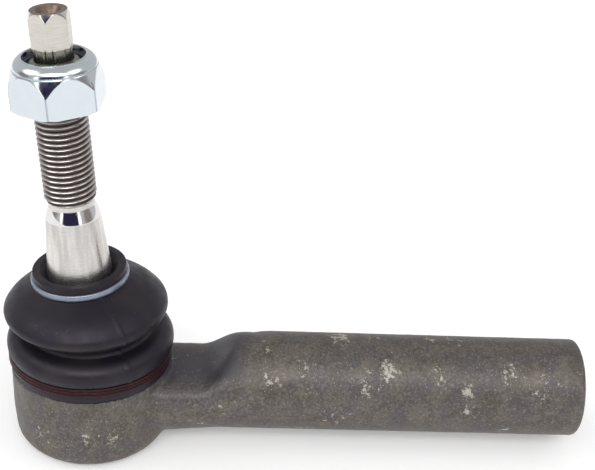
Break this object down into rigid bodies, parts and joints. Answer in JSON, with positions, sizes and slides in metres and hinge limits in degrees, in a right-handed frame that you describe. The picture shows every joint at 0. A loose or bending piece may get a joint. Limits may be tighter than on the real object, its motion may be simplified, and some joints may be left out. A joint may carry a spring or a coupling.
{
  "type": "tie rod end",
  "caption": "Outer steering tie rod end: ball stud with taper, thread and lock nut, rubber dust boot, and a forged head with a straight female-threaded shank.",
  "frame": {"origin": "centre of the ball, which is where the shank's axis and the head's axis cross", "axes": "+X along the shank towards its threaded mouth, +Z along the head's own axis towards the stud; the stud is stored leaning 4.1 degrees from +Z towards -X"},
  "size_m": [0.1647, 0.0466, 0.1273],
  "materials": {
    "forged_steel": "matt as-forged steel, oiled, with small chips and pale specks",
    "seat_plastic": "moulded acetal",
    "spring_steel": "oiled spring steel",
    "plate_steel": "plain pressed steel",
    "clamp_wire": "dark red-brown coated wire",
    "boot_rubber": "moulded rubber, satin with a dusty bloom",
    "ring_steel": "satin zinc plated steel",
    "stud_steel": "turned and ground bright steel",
    "insert_nylon": "dyed nylon",
    "nut_zinc": "bright zinc plate"
  },
  "bodies": {
    "head": {"housing": "forged_steel", "bearing_upper": "seat_plastic", "bearing_lower": "seat_plastic", "preload_spring": "spring_steel", "cover_plate": "plate_steel", "boot_clamp_wire": "clamp_wire"},
    "boot": {"dust_boot": "boot_rubber"},
    "boot_collar": {"boot_top_ring": "ring_steel"},
    "stud": {"ball_stud": "stud_steel"},
    "nut_insert": {"lock_nut_insert": "insert_nylon"},
    "nut": {"lock_nut": "nut_zinc"}
  },
  "joints": [
    {"name": "stud_tilt_side", "type": "hinge", "parent": "head", "child": "boot", "pos_m": [0, 0, 0], "axis": [1, 0, 0], "range_deg": [-20, 20], "deforming": ["dust_boot"]},
    {"name": "stud_tilt_along", "type": "hinge", "parent": "boot", "child": "boot_collar", "pos_m": [0, 0, 0], "axis": [0, 1, 0], "range_deg": [-16, 24], "deforming": ["dust_boot"]},
    {"name": "stud_spin", "type": "hinge", "parent": "boot_collar", "child": "stud", "pos_m": [0, 0, 0], "axis": [-0.0715, 0, 0.9974], "continuous": true},
    {"name": "nut_travel", "type": "slide", "parent": "stud", "child": "nut_insert", "axis": [-0.0715, 0, 0.9974], "range_m": [-0.0243, 0.0107]},
    {"name": "nut_turn", "type": "hinge", "parent": "nut_insert", "child": "nut", "pos_m": [0, 0, 0], "axis": [-0.0715, 0, 0.9974], "range_deg": [-5842, 2578]}
  ],
  "couplings": [
    {"joint": "nut_turn", "follows": "nut_travel", "rad_per_m": 4188.8}
  ]
}
